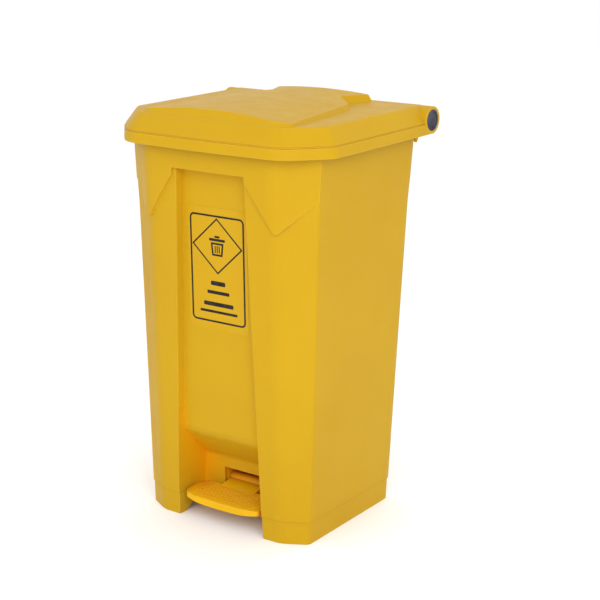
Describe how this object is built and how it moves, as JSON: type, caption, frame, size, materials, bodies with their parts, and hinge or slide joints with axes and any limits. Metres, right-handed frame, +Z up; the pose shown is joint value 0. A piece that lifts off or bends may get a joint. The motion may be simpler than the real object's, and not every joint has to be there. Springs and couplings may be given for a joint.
{
  "type": "pedal bin",
  "caption": "Upright pedal bin with a tapered shell, a recessed foot pedal, a rear push rod and a domed hinged lid.",
  "frame": {"origin": "centre of the overall footprint at ground level, lid closed and pedal up", "axes": "+Z up, the pedal and the label face -Y, +X to the right of someone facing the pedal along +Y"},
  "size_m": [0.49, 0.441, 0.8185],
  "materials": {
    "body_plastic": "satin moulded polyethylene",
    "lid_plastic": "satin moulded polyethylene",
    "pedal_plastic": "satin moulded plastic with a tread",
    "label_vinyl": "smooth printed vinyl",
    "plug_plastic": "dark moulded plastic",
    "dark_plastic": "black moulded nylon",
    "bush_nylon": "natural nylon",
    "buffer_rubber": "soft black rubber",
    "zinc_steel": "zinc plated steel",
    "spring_steel": "dark oiled spring steel",
    "screw_steel": "bright plated screws"
  },
  "bodies": {
    "base": {"outer_body": "body_plastic", "label_sticker": "label_vinyl", "hinge_rod": "zinc_steel", "pedal_axle": "zinc_steel", "axle_bracket_right": "body_plastic", "axle_bracket_left": "body_plastic", "axle_clips": "spring_steel", "bracket_screws": "screw_steel", "rod_guide_lower": "dark_plastic", "rod_guide_upper": "dark_plastic", "guide_screws": "screw_steel"},
    "lid": {"lid": "lid_plastic", "hinge_plug_right": "plug_plastic", "hinge_plug_left": "plug_plastic", "lid_buffers": "buffer_rubber", "lift_bracket": "zinc_steel", "lift_bracket_screws": "screw_steel", "crank_pin": "zinc_steel", "crank_pin_clips": "spring_steel"},
    "push_rod": {"push_rod": "zinc_steel", "rod_head": "dark_plastic", "rod_fork": "zinc_steel", "link_pin": "zinc_steel", "link_pin_clips": "spring_steel"},
    "pedal": {"pedal": "pedal_plastic", "pedal_bush_right": "bush_nylon", "pedal_bush_left": "bush_nylon", "lever_bar": "zinc_steel", "lever_screws": "screw_steel"}
  },
  "joints": [
    {"name": "lid_hinge", "type": "hinge", "parent": "base", "child": "lid", "pos_m": [0, 0.194, 0.7735], "axis": [-1, 0, 0], "range_deg": [0, 80]},
    {"name": "push_rod_slide", "type": "slide", "parent": "base", "child": "push_rod", "axis": [0, 0.0648, 0.9979], "range_m": [0, 0.0547]},
    {"name": "pedal_pivot", "type": "hinge", "parent": "base", "child": "pedal", "pos_m": [0, -0.0705, 0.062], "axis": [1, 0, 0], "range_deg": [0, 17.05]}
  ],
  "couplings": [
    {"joint": "push_rod_slide", "follows": "lid_hinge", "m_per_rad": 0.039043},
    {"joint": "pedal_pivot", "follows": "lid_hinge", "ratio": 0.2125}
  ]
}
